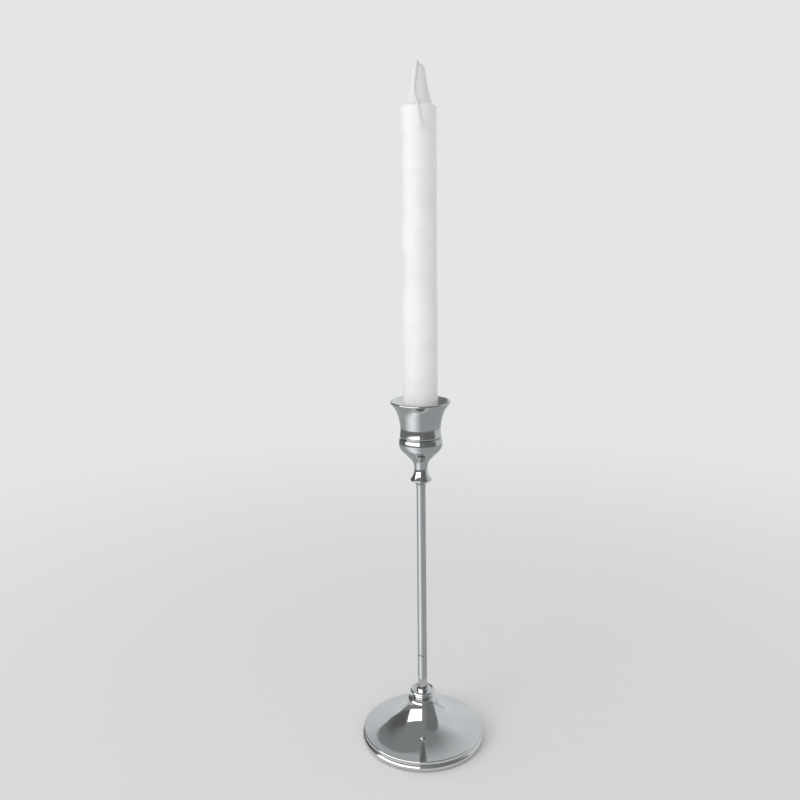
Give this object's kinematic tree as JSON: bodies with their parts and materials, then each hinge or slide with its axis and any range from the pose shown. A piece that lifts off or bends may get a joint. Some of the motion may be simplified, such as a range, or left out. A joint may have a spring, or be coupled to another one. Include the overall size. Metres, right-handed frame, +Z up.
{
  "type": "candlestick",
  "caption": "Slender chrome candlestick with a trumpet foot, turned collars, thin stem and tulip cup, holding one tall white dinner candle that lifts out.",
  "frame": {"origin": "centre of the underside of the rubber under the foot, where the candlestick stands on a table", "axes": "+Z up along the stem; -Y is the side where the wick lies down the front of the candle"},
  "size_m": [0.081, 0.081, 0.428],
  "materials": {
    "chrome": "polished",
    "steel": "zinc plated",
    "iron": "as cast, painted",
    "rubber": "matt",
    "wax": "satin wax",
    "wick": "braided cotton, waxed"
  },
  "bodies": {
    "candlestick": {"base_rubber": "rubber", "base_rim": "chrome", "base_shell": "chrome", "base_weight": "iron", "tie_rod_nut": "steel", "tie_rod_spring_washer": "steel", "tie_rod_washer": "steel", "tie_rod": "steel", "collar_ring": "chrome", "collar_flange": "chrome", "stem_ferrule": "chrome", "stem_lower_tube": "chrome", "stem_upper_tube": "chrome", "cup_neck": "chrome", "cup_bowl": "chrome", "cup_sleeve": "chrome", "cup_screw": "steel", "cup_spring_washer": "steel"},
    "candle": {"candle_wax": "wax", "candle_wick": "wick"}
  },
  "joints": [
    {"name": "candle_lift", "type": "slide", "parent": "candlestick", "child": "candle", "axis": [0, 0, 1], "range_m": [0, 0.04]}
  ]
}
